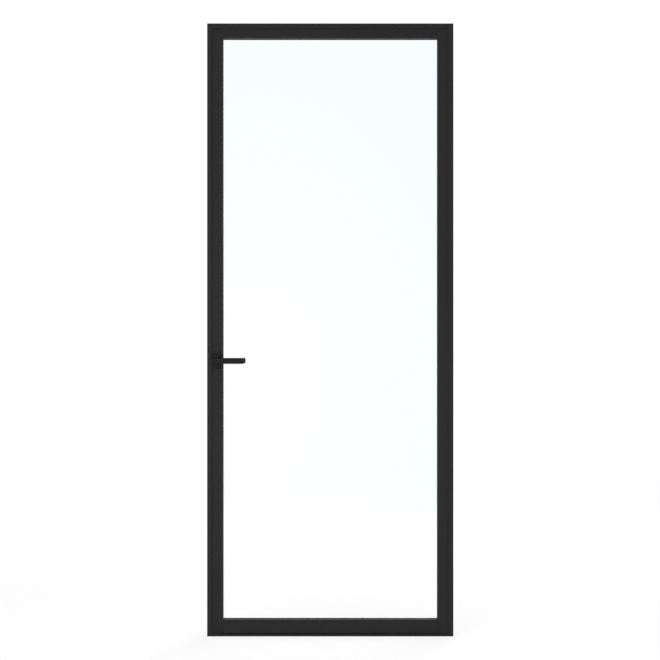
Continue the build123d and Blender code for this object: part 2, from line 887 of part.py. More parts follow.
with BuildPart() as lock_screws:
    for level in faceplate_screw_levels:
        flat_screw(
            Plane(origin=(-leaf_half, 0, level), z_dir=(-1, 0, 0)),
            lock_screw_head,
            lock_screw_radius,
            lock_screw_length,
        )
    for x, z in post_places:
        pan_screw(
            Plane(origin=(x, case_width / 2, z), z_dir=(0, 1, 0)),
            cover_screw_head,
            cover_screw_head_height,
            cover_screw_radius,
            cover_screw_length,
        )
finish(lock_screws, "lock_screws")

# Latch bolt: a bevelled head, a tail and the tab that the follower's arm pushes
tip_x = -leaf_half - latch_throw
head_back_x = -leaf_half + latch_inside
tab_x = -leaf_half + tab_start
tail_height = 4.0

with BuildPart() as latch_bolt:
    with BuildSketch(Plane.XY.offset(latch_level - latch_height / 2)):
        Polygon(
            (tip_x, latch_width / 2),
            (tip_x, latch_width / 2 - latch_nose),
            (-leaf_half - 1, -latch_width / 2),
            (head_back_x, -latch_width / 2),
            (head_back_x, latch_width / 2),
            align=None,
        )
    extrude(amount=latch_height)
    tail_low = latch_level - latch_height / 2
    block(
        (head_back_x - 2, -arm_width / 2, tail_low),
        (tab_x + tab_thickness, arm_width / 2, tail_low + tail_height),
    )
    block(
        (tab_x, -arm_width / 2, lever_height + arm_rise - arm_clearance / 2),
        (tab_x + tab_thickness, arm_width / 2, tail_low + tail_height),
    )
finish(latch_bolt, "latch_bolt")

# Compression spring between the latch's head and the back wall of the case
with BuildPart() as latch_spring:
    spring_start = head_back_x + spring_wire / 2 + slip_fit
    spring_end = case_back_x - case_wall - spring_wire / 2 - slip_fit
    spring_length = spring_end - spring_start
    with BuildLine() as coil:
        Helix(
            pitch=spring_length / spring_turns,
            height=spring_length,
            radius=spring_radius,
            center=(spring_start, 0, latch_level + 2),
            direction=(1, 0, 0),
        )
    with BuildSketch(Plane(origin=coil.line @ 0, z_dir=coil.line % 0)):
        RegularPolygon(spring_wire / 2, spring_flats)
    sweep(is_frenet=True)
finish(latch_spring, "latch_spring")

# Follower: a hub with a square hole, a boss through each wall and one arm
with BuildPart() as follower:
    with Locations(Location((lever_x, 0, lever_height), (90, 0, 0))):
        Cylinder(boss_radius, case_width)
        Cylinder(follower_radius, case_width - 2 * case_wall - 2 * slip_fit)
    with BuildSketch(Plane(origin=(lever_x, arm_width / 2, lever_height), x_dir=(1, 0, 0), z_dir=(0, -1, 0))):
        with Locations((arm_start / 2, arm_rise / 2)):
            Rectangle(arm_neck, arm_reach, rotation=-arm_angle)
        with Locations((arm_start, arm_rise)):
            Circle(arm_radius)
    extrude(amount=arm_width)
    with Locations((lever_x, 0, lever_height)):
        Box(spindle_size + slip_fit, case_width, spindle_size + slip_fit, mode=Mode.SUBTRACT)
finish(follower, "follower")

# Lever set: distances here are counted outwards from the leaf's face
grip_stand = rose_depth + neck_length
neck_start = rose_depth + soft_clearance
journal_start = -tube_wall + 0.5
spindle_end = leaf_back + spindle_bite
grub_distance = neck_start + 8
grub_radius = 2.0


def outward_plane(side, distance):
    return Plane(
        origin=(lever_x, side * (leaf_back + distance), lever_height),
        x_dir=(1, 0, 0),
        z_dir=(0, side, 0),
    )


def make_lever(side):
    with BuildPart() as lever:
        with BuildSketch(outward_plane(side, grip_stand)):
            with Locations((grip_length / 2 - grip_height / 2, 0)):
                Rectangle(grip_length, grip_height)
        extrude(amount=grip_thickness)
        fillet(lever.edges(), radius=grip_round)
        with BuildSketch(outward_plane(side, neck_start)):
            Circle(neck_radius)
        extrude(amount=grip_stand - neck_start + grip_thickness / 2)
        with BuildSketch(outward_plane(side, journal_start)):
            Circle(journal_radius)
        extrude(amount=neck_start - journal_start)
        with BuildSketch(outward_plane(side, journal_start)):
            Rectangle(spindle_size + slip_fit, spindle_size + slip_fit)
        extrude(amount=spindle_bite - journal_start + 1, mode=Mode.SUBTRACT)
        with Locations((lever_x, side * (leaf_back + grub_distance), lever_height)):
            Cylinder(
                grub_radius,
                neck_radius + 1,
                align=(Align.CENTER, Align.CENTER, Align.MAX),
                mode=Mode.SUBTRACT,
            )
    return lever


finish(make_lever(-1), "lever_front")
finish(make_lever(1), "lever_back")

with BuildPart() as spindle:
    block(
        (lever_x - spindle_size / 2, -spindle_end, lever_height - spindle_size / 2),
        (lever_x + spindle_size / 2, spindle_end, lever_height + spindle_size / 2),
    )
    chamfer(spindle.faces().filter_by(Axis.Y).edges(), length=0.8)
finish(spindle, "spindle")

with BuildPart() as grub_screws:
    for side in (-1, 1):
        with Locations((lever_x, side * (leaf_back + grub_distance), lever_height - spindle_size / 2)):
            Cylinder(
                grub_radius - running_fit,
                neck_radius - spindle_size / 2 - 0.5,
                align=(Align.CENTER, Align.CENTER, Align.MAX),
            )
finish(grub_screws, "grub_screws")


# Rose: a screwed base inside a hollow snap-on cover
def make_rose(side):
    with BuildPart() as rose:
        with BuildSketch(outward_plane(side, 0)):
            RectangleRounded(rose_width, rose_height, rose_round)
        extrude(amount=rose_depth)
        outer_face = rose.faces().filter_by(Axis.Y).sort_by(Axis.Y)[0 if side < 0 else -1]
        fillet(outer_face.edges(), radius=rose_wall / 2)
        with BuildSketch(outward_plane(side, 0)):
            Rectangle(rose_width - 2 * rose_wall, rose_height - 2 * rose_wall)
        extrude(amount=rose_depth - rose_wall, mode=Mode.SUBTRACT)
        with BuildSketch(outward_plane(side, 0)):
            Circle(journal_radius + seat_fit)
        extrude(amount=rose_depth, mode=Mode.SUBTRACT)
    return rose


finish(make_rose(-1), "rose_front")
finish(make_rose(1), "rose_back")


def rose_screw_places(side):
    return [
        Plane(
            origin=(lever_x, side * (leaf_back + base_depth), lever_height + step),
            x_dir=(1, 0, 0),
            z_dir=(0, side, 0),
        )
        for step in (-rose_screw_offset, rose_screw_offset)
    ]


with BuildPart() as rose_bases:
    for side in (-1, 1):
        with BuildSketch(outward_plane(side, 0)):
            Rectangle(rose_width - 2 * rose_wall - 2 * slip_fit, rose_height - 2 * rose_wall - 2 * slip_fit)
            Circle(bush_radius + slip_fit, mode=Mode.SUBTRACT)
        extrude(amount=base_depth)
        with Locations(*rose_screw_places(side)):
            CounterSinkHole(lock_screw_radius, lock_screw_head, depth=base_depth)
finish(rose_bases, "rose_bases")

with BuildPart() as rose_screws:
    for side in (-1, 1):
        for place in rose_screw_places(side):
            flat_screw(place, lock_screw_head, lock_screw_radius, lock_screw_length)
finish(rose_screws, "rose_screws")

with BuildPart() as lever_bushes:
    for side in (-1, 1):
        with BuildSketch(outward_plane(side, -tube_wall)):
            Circle(bush_radius)
            Circle(journal_radius + running_fit, mode=Mode.SUBTRACT)
        extrude(amount=tube_wall + rose_depth - rose_wall - slip_fit)
finish(lever_bushes, "lever_bushes")
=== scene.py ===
import json
from math import cos, pi, radians, sin, sqrt

import bmesh
import bpy
from mathutils import Matrix, Vector

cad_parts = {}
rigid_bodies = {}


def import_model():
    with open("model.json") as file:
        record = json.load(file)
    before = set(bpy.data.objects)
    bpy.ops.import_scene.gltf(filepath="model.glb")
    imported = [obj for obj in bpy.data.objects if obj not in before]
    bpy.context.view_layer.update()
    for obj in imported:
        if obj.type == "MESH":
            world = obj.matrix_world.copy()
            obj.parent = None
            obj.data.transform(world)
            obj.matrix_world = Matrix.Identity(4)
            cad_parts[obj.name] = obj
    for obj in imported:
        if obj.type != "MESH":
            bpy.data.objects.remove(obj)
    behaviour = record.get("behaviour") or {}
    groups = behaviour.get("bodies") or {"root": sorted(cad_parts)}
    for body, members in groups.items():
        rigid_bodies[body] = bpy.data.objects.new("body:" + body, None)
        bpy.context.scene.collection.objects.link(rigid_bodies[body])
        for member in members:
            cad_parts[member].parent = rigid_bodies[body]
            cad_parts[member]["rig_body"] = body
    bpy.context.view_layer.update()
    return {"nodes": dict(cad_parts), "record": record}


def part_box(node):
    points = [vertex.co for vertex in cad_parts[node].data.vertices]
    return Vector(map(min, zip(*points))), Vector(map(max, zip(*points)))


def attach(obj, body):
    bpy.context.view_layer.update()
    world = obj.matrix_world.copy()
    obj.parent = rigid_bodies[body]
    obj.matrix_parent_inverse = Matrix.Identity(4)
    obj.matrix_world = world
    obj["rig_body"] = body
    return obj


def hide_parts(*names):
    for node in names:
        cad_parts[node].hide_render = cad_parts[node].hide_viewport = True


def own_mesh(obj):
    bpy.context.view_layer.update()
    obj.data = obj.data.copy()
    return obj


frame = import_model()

nodes = frame["nodes"]
slotOf = {part["node"]: part["material_slot"] for part in frame["record"]["subparts"]}
bodyOf = {name: node["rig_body"] for name, node in nodes.items()}
scene = bpy.context.scene
scene.view_settings.view_transform = "Standard"
print("frame loaded with", len(nodes), "pieces")


# One socket of a node tree. An expression on it adds the Math nodes, so masks read as sums.
class Wire:
    def __init__(self, tree, socket=None):
        self.tree = tree
        self.socket = socket

    # Settings come first, then the values or links of the sockets; the result is one output
    def node(self, kind, settings=None, sockets=None, output=0):
        made = self.tree.nodes.new(kind)
        for name, value in (settings or {}).items():
            if name == "items":
                while len(made.index_switch_items) < value:
                    made.index_switch_items.new()
            else:
                setattr(made, name, value)
        for key, value in (sockets or {}).items():
            if isinstance(value, Wire):
                self.tree.links.new(value.socket, made.inputs[key])
            else:
                made.inputs[key].default_value = value
        return Wire(self.tree, made.outputs[output] if made.outputs else None)

    def maths(self, operation, first, second=0.0):
        return self.node("ShaderNodeMath", {"operation": operation}, {0: first, 1: second})

    def __add__(self, other):
        return self.maths("ADD", self, other)

    def __radd__(self, other):
        return self.maths("ADD", other, self)

    def __sub__(self, other):
        return self.maths("SUBTRACT", self, other)

    def __rsub__(self, other):
        return self.maths("SUBTRACT", other, self)

    def __mul__(self, other):
        return self.maths("MULTIPLY", self, other)

    def __rmul__(self, other):
        return self.maths("MULTIPLY", other, self)

    def __truediv__(self, other):
        return self.maths("DIVIDE", self, other)

    def __rtruediv__(self, other):
        return self.maths("DIVIDE", other, self)

    def __gt__(self, other):
        return self.maths("GREATER_THAN", self, other)

    def __lt__(self, other):
        return self.maths("LESS_THAN", self, other)


def startFinish(name):
    finish = bpy.data.materials.new(name)
    finish.use_nodes = True
    finish.node_tree.nodes.clear()
    return finish, Wire(finish.node_tree)


def closeFinish(finish, shader):
    shader.node("ShaderNodeOutputMaterial", {}, {"Surface": shader})
    return finish


def noise(start, place, scale, detail=2.0, roughness=0.5):
    return start.node(
        "ShaderNodeTexNoise",
        {},
        {"Vector": place, "Scale": scale, "Detail": detail, "Roughness": roughness},
    )


def bump(start, height, distance):
    return start.node("ShaderNodeBump", {}, {"Height": height, "Distance": distance})


def toneBetween(start, factor, dark, light):
    return start.node(
        "ShaderNodeMix",
        {"data_type": "RGBA"},
        {0: factor, 6: (*dark, 1), 7: (*light, 1)},
        output=2,
    )


# How the grain shows in every coat: its contrast, and its share of the colour and of the relief
coatGrain = {"contrast": 3.0, "inColour": 0.75, "inRelief": 0.6}


# Fine-textured powder coat: a grain of fractions of a millimetre on a faint orange peel
def powderCoat(name, coat):
    finish, start = startFinish(name)
    place = start.node("ShaderNodeTexCoord", output="Object")
    grain = noise(start, place, coat["grain"], 3.0, 0.6)
    peel = noise(start, place, coat["peel"], 1.0)
    drift = noise(start, place, coat["drift"], 2.0)
    fleck = start.node("ShaderNodeClamp", {}, {"Value": (grain - 0.5) * coatGrain["contrast"] + 0.5})
    shade = fleck * coatGrain["inColour"] + drift * (1 - coatGrain["inColour"])
    relief = grain * coatGrain["inRelief"] + peel * (1 - coatGrain["inRelief"])
    shader = start.node("ShaderNodeBsdfPrincipled", {}, {
        "Base Color": toneBetween(start, shade, coat["dark"], coat["light"]),
        "Roughness": coat["roughness"] + coat["roughnessSpread"] * (grain - 0.5),
        "Specular IOR Level": coat["specular"],
        "Normal": bump(start, relief, coat["depth"]),
    })
    return closeFinish(finish, shader)


frameCoat = {
    "dark": (0.0115, 0.0115, 0.0116), "light": (0.0258, 0.0257, 0.0258),
    "roughness": 0.5, "roughnessSpread": 0.2, "specular": 0.12,
    "grain": 1500.0, "peel": 380.0, "drift": 3.0, "depth": 0.00022,
}
leverCoat = {
    "dark": (0.0068, 0.0068, 0.0069), "light": (0.0136, 0.0136, 0.0136),
    "roughness": 0.42, "roughnessSpread": 0.1, "specular": 0.12,
    "grain": 2600.0, "peel": 600.0, "drift": 12.0, "depth": 0.00008,
}
hingeCoat = {
    "dark": (0.0125, 0.0125, 0.0125), "light": (0.0265, 0.0265, 0.0270),
    "roughness": 0.38, "roughnessSpread": 0.15, "specular": 0.3,
    "grain": 2200.0, "peel": 700.0, "drift": 20.0, "depth": 0.00010,
}


# Rubber: dull, with a faint bloom and fine extrusion grain
def rubberFinish(name, rubber):
    finish, start = startFinish(name)
    place = start.node("ShaderNodeTexCoord", output="Object")
    bloom = noise(start, place, rubber["bloom"], 4.0, 0.6)
    grain = noise(start, place, rubber["grain"], 2.0)
    shader = start.node("ShaderNodeBsdfPrincipled", {}, {
        "Base Color": toneBetween(start, bloom, rubber["dark"], rubber["light"]),
        "Roughness": rubber["roughness"] + rubber["roughnessSpread"] * (bloom - 0.5),
        "Specular IOR Level": rubber["specular"],
        "Normal": bump(start, grain, rubber["depth"]),
    })
    return closeFinish(finish, shader)


sealRubber = {
    "dark": (0.028, 0.028, 0.028), "light": (0.042, 0.042, 0.043), "roughness": 0.7,
    "roughnessSpread": 0.15, "specular": 0.25, "bloom": 60.0, "grain": 1800.0, "depth": 0.00003,
}
mouldedPlastic = {
    "dark": (0.020, 0.020, 0.021), "light": (0.028, 0.028, 0.029), "roughness": 0.45,
    "roughnessSpread": 0.15, "specular": 0.4, "bloom": 90.0, "grain": 1200.0, "depth": 0.00002,
}


# How far the drawn lines sway the roughness of every metal
linesInRoughness = 0.1


# Bare or plated metal: cloudy tone, rolled or brushed lines along one axis
def metalFinish(name, metal):
    finish, start = startFinish(name)
    place = start.node("ShaderNodeTexCoord", output="Object")
    drawn = start.node("ShaderNodeMapping", {}, {"Vector": place, "Scale": metal["drawnOut"]})
    cloud = noise(start, place, metal["cloud"], 3.0, 0.6)
    lines = noise(start, drawn, metal["lines"], 3.0, 0.6)
    clouded = metal["roughness"] + metal["roughnessSpread"] * (cloud - 0.5)
    shader = start.node("ShaderNodeBsdfPrincipled", {}, {
        "Base Color": toneBetween(start, cloud, metal["dark"], metal["light"]),
        "Metallic": 1.0,
        "Roughness": clouded + linesInRoughness * (lines - 0.5),
        "Normal": bump(start, lines, metal["depth"]),
    })
    return closeFinish(finish, shader)


zincPlate = {
    "dark": (0.42, 0.43, 0.44), "light": (0.56, 0.57, 0.58), "roughness": 0.34, "roughnessSpread": 0.2,
    "cloud": 260.0, "lines": 900.0, "drawnOut": (1, 1, 0.1), "depth": 0.00001,
}
nickelLatch = {
    "dark": (0.50, 0.49, 0.47), "light": (0.60, 0.59, 0.56), "roughness": 0.24, "roughnessSpread": 0.12,
    "cloud": 150.0, "lines": 1500.0, "drawnOut": (0.08, 1, 1), "depth": 0.00001,
}
darkSteel = {
    "dark": (0.10, 0.10, 0.105), "light": (0.17, 0.17, 0.175), "roughness": 0.5, "roughnessSpread": 0.2,
    "cloud": 120.0, "lines": 700.0, "drawnOut": (1, 1, 0.12), "depth": 0.00002,
}
blackOxide = {
    "dark": (0.030, 0.030, 0.032), "light": (0.048, 0.048, 0.050), "roughness": 0.4, "roughnessSpread": 0.15,
    "cloud": 500.0, "lines": 1800.0, "drawnOut": (1, 1, 1), "depth": 0.00001,
}
millAluminium = {
    "dark": (0.60, 0.61, 0.62), "light": (0.70, 0.71, 0.72), "roughness": 0.38, "roughnessSpread": 0.12,
    "cloud": 80.0, "lines": 1100.0, "drawnOut": (0.06, 1, 1), "depth": 0.00001,
}


# Clear float glass. Its Base Color holds painted shading: a pale cyan tint that deepens away from a clear
# middle and ends in a broad arc, laid on by place on the pane and not by the light.
def glassFinish(name, glass):
    finish, start = startFinish(name)
    place = start.node("ShaderNodeTexCoord", output="Object")
    x = start.node("ShaderNodeSeparateXYZ", {}, {0: place}, output=0)
    z = start.node("ShaderNodeSeparateXYZ", {}, {0: place}, output=2)
    across = (x - glass["middle"][0]) * glass["sideWeight"]
    up = z - glass["middle"][1]
    fromMiddle = start.maths("SQRT", across * across + up * up)
    arcAcross = x - glass["arcCentre"][0]
    arcUp = z - glass["arcCentre"][1]
    fromArc = start.maths("SQRT", arcAcross * arcAcross + arcUp * arcUp)
    above = start.node("ShaderNodeMapRange", {"interpolation_type": "SMOOTHSTEP"}, {
        "Value": fromArc,
        "From Min": glass["arcRadius"] - glass["arcSoftness"],
        "From Max": glass["arcRadius"] + glass["arcSoftness"],
        "To Min": 1.0,
        "To Max": 0.0,
    })
    reach = (fromMiddle - glass["clearRadius"]) / (glass["farRadius"] - glass["clearRadius"])
    # Painted shade: the cyan tint is masked by place, deepening outwards and cut off above a broad arc
    paintedShade = start.node("ShaderNodeClamp", {}, {"Value": reach}) * above
    shader = start.node("ShaderNodeBsdfPrincipled", {}, {
        "Base Color": toneBetween(start, paintedShade, glass["clear"], glass["paintedShade"]),
        "Roughness": 0.0,
        "IOR": glass["index"],
        "Transmission Weight": 1.0,
    })
    return closeFinish(finish, shader)


# The pane's painted shading: the tint at its deepest, the clear middle, how far it reaches and the arc where
# it ends
clearGlass = {
    "clear": (1.0, 1.0, 1.0), "paintedShade": (0.918, 0.992, 1.0), "index": 1.5, "middle": (-0.28, 0.97),
    "sideWeight": 1.4, "clearRadius": 0.30, "farRadius": 1.45, "arcCentre": (0.9, 3.2), "arcRadius": 2.86,
    "arcSoftness": 0.03,
}

finishes = {
    "frame_coating": powderCoat("frameCoating", frameCoat),
    "leaf_coating": powderCoat("leafCoating", frameCoat),
    "bead_coating": powderCoat("beadCoating", frameCoat),
    "pane_glass": glassFinish("paneGlass", clearGlass),
    "seal_rubber": rubberFinish("sealRubber", sealRubber),
    "lever_coating": powderCoat("leverCoating", leverCoat),
    "hinge_coating": powderCoat("hingeCoating", hingeCoat),
    "black_screw": metalFinish("blackScrew", blackOxide),
    "plated_steel": metalFinish("platedSteel", zincPlate),
    "dark_plate": metalFinish("darkPlate", darkSteel),
    "latch_metal": metalFinish("latchMetal", nickelLatch),
    "cleat_aluminium": metalFinish("cleatAluminium", millAluminium),
    "black_plastic": rubberFinish("blackPlastic", mouldedPlastic),
}
print("finishes made:", len(finishes))


# Puts a finished mesh in the place of CAD nodes, on their body and in their finish
def standFor(mesh, pieceName, *nodeNames):
    piece = bpy.data.objects.new(pieceName, mesh)
    scene.collection.objects.link(piece)
    mesh.materials.clear()
    mesh.materials.append(finishes[slotOf[nodeNames[0]]])
    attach(piece, bodyOf[nodeNames[0]])
    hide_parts(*nodeNames)
    return piece


# Metres between points that are one, and degrees between faces
sameCadPoint = 2e-6
sameGrownPoint = 1e-6
edgeAngles = {"flat": 0.5, "sharp": 50, "smooth": 32, "turnedSmooth": 40}


def shadeByAngle(mesh, angle=edgeAngles["smooth"]):
    mesh.polygons.foreach_set("use_smooth", [True] * len(mesh.polygons))
    mesh.set_sharp_from_angle(angle=radians(angle))


def mergedCopy(nodeName):
    form = bmesh.new()
    form.from_mesh(nodes[nodeName].data)
    bmesh.ops.remove_doubles(form, verts=form.verts, dist=sameCadPoint)
    return form


# A piece's long sharp edges are broken by a small round, as folded, extruded and moulded edges are
def softened(nodeName, pieceName, softening):
    form = mergedCopy(nodeName)
    flat = radians(edgeAngles["flat"])
    bmesh.ops.dissolve_limit(form, angle_limit=flat, verts=form.verts, edges=form.edges)
    if softening["round"]:
        sharp = [
            edge for edge in form.edges
            if len(edge.link_faces) == 2
            and edge.calc_length() > softening["shortest"]
            and edge.calc_face_angle() > radians(edgeAngles["sharp"])
        ]
        bmesh.ops.bevel(
            form, geom=sharp, offset=softening["round"], segments=softening["steps"], profile=0.5,
            affect="EDGES", clamp_overlap=True,
        )
    mesh = bpy.data.meshes.new(pieceName)
    form.to_mesh(mesh)
    form.free()
    shadeByAngle(mesh)
    return standFor(mesh, pieceName, nodeName)


extrudedEdges = {"round": 0.0006, "shortest": 0.006, "steps": 2}
plateEdges = {"round": 0.0003, "shortest": 0.004, "steps": 2}
mouldedEdges = {"round": 0.0004, "shortest": 0.0035, "steps": 2}
asCast = {"round": 0, "shortest": 0, "steps": 0}

softenedPieces = {
    "jamb_lock": ("lockJamb", extrudedEdges),
    "jamb_hinge": ("hingeJamb", extrudedEdges),
    "head": ("headMember", extrudedEdges),
    "sill": ("sillMember", plateEdges),
    "stile_lock": ("lockStile", extrudedEdges),
    "stile_hinge": ("hingeStile", extrudedEdges),
    "rail_top": ("topRail", extrudedEdges),
    "rail_bottom": ("bottomRail", extrudedEdges),
    "bead_lock": ("lockBead", plateEdges),
    "bead_hinge": ("hingeBead", plateEdges),
    "bead_top": ("topBead", plateEdges),
    "bead_bottom": ("bottomBead", plateEdges),
    "frame_corner_cleats": ("cornerCleats", plateEdges),
    "rail_connectors": ("railConnectors", plateEdges),
    "frame_backing_plates": ("frameBackingPlates", plateEdges),
    "leaf_backing_plates": ("leafBackingPlates", plateEdges),
    "hinge_bottom_frame_plate": ("bottomHingeFramePlate", plateEdges),
    "hinge_middle_frame_plate": ("middleHingeFramePlate", plateEdges),
    "hinge_top_frame_plate": ("topHingeFramePlate", plateEdges),
    "hinge_bottom_leaf_plate": ("bottomHingeLeafPlate", plateEdges),
    "hinge_middle_leaf_plate": ("middleHingeLeafPlate", plateEdges),
    "hinge_top_leaf_plate": ("topHingeLeafPlate", plateEdges),
    "strike_plate": ("strikePlate", plateEdges),
    "strike_box": ("strikeBox", plateEdges),
    "lock_faceplate": ("lockFaceplate", plateEdges),
    "lock_case": ("lockCase", plateEdges),
    "lock_cover": ("lockCover", plateEdges),
    "latch_bolt": ("latchBolt", mouldedEdges),
    "follower": ("lockFollower", asCast),
    "setting_blocks": ("settingBlocks", mouldedEdges),
    "stile_end_caps": ("stileEndCaps", mouldedEdges),
    "spindle": ("leverSpindle", asCast),
    "rose_bases": ("roseBases", mouldedEdges),
    "rose_front": ("frontRose", asCast),
    "rose_back": ("backRose", asCast),
    "lever_front": ("frontLever", asCast),
    "lever_back": ("backLever", asCast),
    "glass_pane": ("glassPane", asCast),
}
for nodeName, (pieceName, softening) in softenedPieces.items():
    softened(nodeName, pieceName, softening)
print("softened pieces made:", len(softenedPieces))


# A tree with named inputs; its last steps are always Realize Instances and Set Material
def startTree(name, inputs):
    tree = bpy.data.node_groups.new(name, "GeometryNodeTree")
    tree.interface.new_socket("Geometry", in_out="INPUT", socket_type="NodeSocketGeometry")
    for label, kind in inputs.items():
        tree.interface.new_socket(label, in_out="INPUT", socket_type="NodeSocket" + kind)
    tree.interface.new_socket("Geometry", in_out="OUTPUT", socket_type="NodeSocketGeometry")
    entry = tree.nodes.new("NodeGroupInput")
    return tree, {socket.name: Wire(tree, socket) for socket in entry.outputs if socket.name}


def endTree(tree, shape, finish):
    real = shape.node("GeometryNodeRealizeInstances", {}, {0: shape})
    done = real.node("GeometryNodeSetMaterial", {}, {"Geometry": real, "Material": finish})
    done.node("NodeGroupOutput", {}, {0: done})
    return tree


# Runs a tree on a base mesh and gives back the plain mesh, with its faces outwards
def grownMesh(tree, base, values, angle=edgeAngles["smooth"]):
    holder = bpy.data.objects.new(base.name, base)
    scene.collection.objects.link(holder)
    modifier = holder.modifiers.new("grow", "NODES")
    modifier.node_group = tree
    for item in tree.interface.items_tree:
        if item.in_out == "INPUT" and item.name in values:
            modifier[item.identifier] = values[item.name]
    seen = holder.evaluated_get(bpy.context.evaluated_depsgraph_get())
    mesh = bpy.data.meshes.new_from_object(seen)
    holder.modifiers.remove(modifier)
    bpy.data.objects.remove(holder)
    form = bmesh.new()
    form.from_mesh(mesh)
    bmesh.ops.remove_doubles(form, verts=form.verts, dist=sameGrownPoint)
    bmesh.ops.recalc_face_normals(form, faces=form.faces)
    form.to_mesh(mesh)
    form.free()
    shadeByAngle(mesh, angle)
    return mesh


# Points that face one way, for a tree to set its pieces on
def facingPoints(name, places):
    base = bpy.data.meshes.new(name)
    base.from_pydata([place for place, facing in places], [], [])
    facings = base.attributes.new("facing", "FLOAT_VECTOR", "POINT")
    for item, (place, facing) in zip(facings.data, places):
        item.vector = facing
    return base


def setOnPoints(points, piece, spin=False):
    facing = points.node("GeometryNodeInputNamedAttribute", {"data_type": "FLOAT_VECTOR"}, {"Name": "facing"})
    turned = points.node("FunctionNodeAlignRotationToVector", {"axis": "Z"}, {"Vector": facing})
    if spin:
        between = {2: 0.0, 3: 2 * pi, "Seed": 7}
        angle = points.node("FunctionNodeRandomValue", {"data_type": "FLOAT"}, between, output=1)
        about = points.node("FunctionNodeAxisAngleToRotation", {}, {"Axis": (0, 0, 1), "Angle": angle})
        turned = points.node("FunctionNodeRotateRotation", {"rotation_space": "LOCAL"}, {0: turned, 1: about})
    return points.node(
        "GeometryNodeInstanceOnPoints", {}, {"Points": points, "Instance": piece, "Rotation": turned}
    )


# What all screws share. A row of the grid is a ring of the screw, from the drive's middle to the tip.
screwForm = {
    "headRows": 8, "tipRows": 3, "lobes": 6, "lobeDepth": 0.13, "driveTaper": 0.94, "crown": 0.3,
    "tipLength": 1.2, "tipWidth": 0.45, "coreShare": 0.8, "rowsInPitch": 5, "sides": 36, "sameLength": 0.0004,
}


# A turned screw: six-lobed drive, crowned or countersunk head and a rolled thread, all from one grid
def makeScrewTree():
    headRows = screwForm["headRows"]
    stages = headRows + screwForm["tipRows"]
    tree, put = startTree("screwMaker", {
        "Head Radius": "Float", "Head Height": "Float", "Neck Radius": "Float", "Edge Round": "Float",
        "Drive Radius": "Float", "Drive Depth": "Float", "Shank Radius": "Float", "Core Radius": "Float",
        "Length": "Float", "Pitch": "Float", "Sides": "Int", "Thread Rows": "Int", "Finish": "Material",
    })
    start = put["Geometry"]
    rows = put["Thread Rows"] + stages
    grid = start.node("GeometryNodeMeshGrid", {}, {"Vertices X": put["Sides"] + 1, "Vertices Y": rows})
    index = start.node("GeometryNodeInputIndex")
    row = start.maths("FLOORED_MODULO", index, rows)
    turn = start.maths("FLOOR", (index + 0.5) / rows) / put["Sides"]
    angle = turn * (2 * pi)
    # The stage picks a row's radius and height: 0 to 7 down the drive and head, 8 all along the thread
    lastThread = put["Thread Rows"] + headRows
    stage = start.maths("MINIMUM", row, headRows) + (row > lastThread) + (row > lastThread + 1)
    tip = put["Shank Radius"] * screwForm["tipLength"]
    threaded = put["Length"] - put["Head Height"] - tip
    down = (row - headRows) * threaded / put["Thread Rows"] + put["Head Height"]
    wave = start.maths("FRACT", down / put["Pitch"] + turn)
    ripple = start.maths("ABSOLUTE", wave * 2 - 1)
    thread = put["Core Radius"] + (put["Shank Radius"] - put["Core Radius"]) * ripple
    lobes = 1 + screwForm["lobeDepth"] * start.maths("COSINE", angle * screwForm["lobes"])
    radius = start.node("GeometryNodeIndexSwitch", {"data_type": "FLOAT", "items": stages}, {
        0: stage,
        1: 0.0,
        2: put["Drive Radius"] * lobes * screwForm["driveTaper"],
        3: put["Drive Radius"] * lobes,
        4: put["Head Radius"] - put["Edge Round"],
        5: put["Head Radius"] - put["Edge Round"] * screwForm["crown"],
        6: put["Head Radius"],
        7: put["Neck Radius"],
        8: put["Shank Radius"],
        9: thread,
        10: put["Core Radius"] * screwForm["tipWidth"],
        11: 0.0,
    })
    height = start.node("GeometryNodeIndexSwitch", {"data_type": "FLOAT", "items": stages}, {
        0: stage,
        1: 0 - put["Drive Depth"],
        2: 0 - put["Drive Depth"],
        3: 0.0,
        4: 0.0,
        5: 0 - put["Edge Round"] * screwForm["crown"],
        6: 0 - put["Edge Round"],
        7: 0 - put["Head Height"],
        8: 0 - put["Head Height"],
        9: 0 - down,
        10: 0 - put["Length"],
        11: 0 - put["Length"],
    })
    place = start.node("ShaderNodeCombineXYZ", {}, {
        0: radius * start.maths("COSINE", angle),
        1: radius * start.maths("SINE", angle),
        2: height,
    })
    shaped = start.node("GeometryNodeSetPosition", {}, {"Geometry": grid, "Position": place})
    closed = start.node("GeometryNodeMergeByDistance", {}, {"Geometry": shaped, "Distance": sameCadPoint})
    return endTree(tree, setOnPoints(put["Geometry"], closed, spin=True), put["Finish"])


# Rings with broken edges: washers, bushes and collars
def makeRingTree():
    tree, put = startTree("ringMaker", {
        "Inner Radius": "Float", "Outer Radius": "Float", "Thickness": "Float", "Edge Round": "Float",
        "Sides": "Int", "Finish": "Material",
    })
    start = put["Geometry"]
    section = start.node("GeometryNodeCurvePrimitiveQuadrilateral", {}, {
        "Width": put["Outer Radius"] - put["Inner Radius"],
        "Height": put["Thickness"],
    })
    broken = start.node("GeometryNodeFilletCurve", {"mode": "POLY"}, {
        "Curve": section, "Count": 2, "Radius": put["Edge Round"],
    })
    path = start.node("GeometryNodeCurvePrimitiveCircle", {}, {
        "Resolution": put["Sides"], "Radius": (put["Inner Radius"] + put["Outer Radius"]) * 0.5,
    })
    ring = start.node("GeometryNodeCurveToMesh", {}, {"Curve": path, "Profile Curve": broken})
    return endTree(tree, setOnPoints(put["Geometry"], ring), put["Finish"])


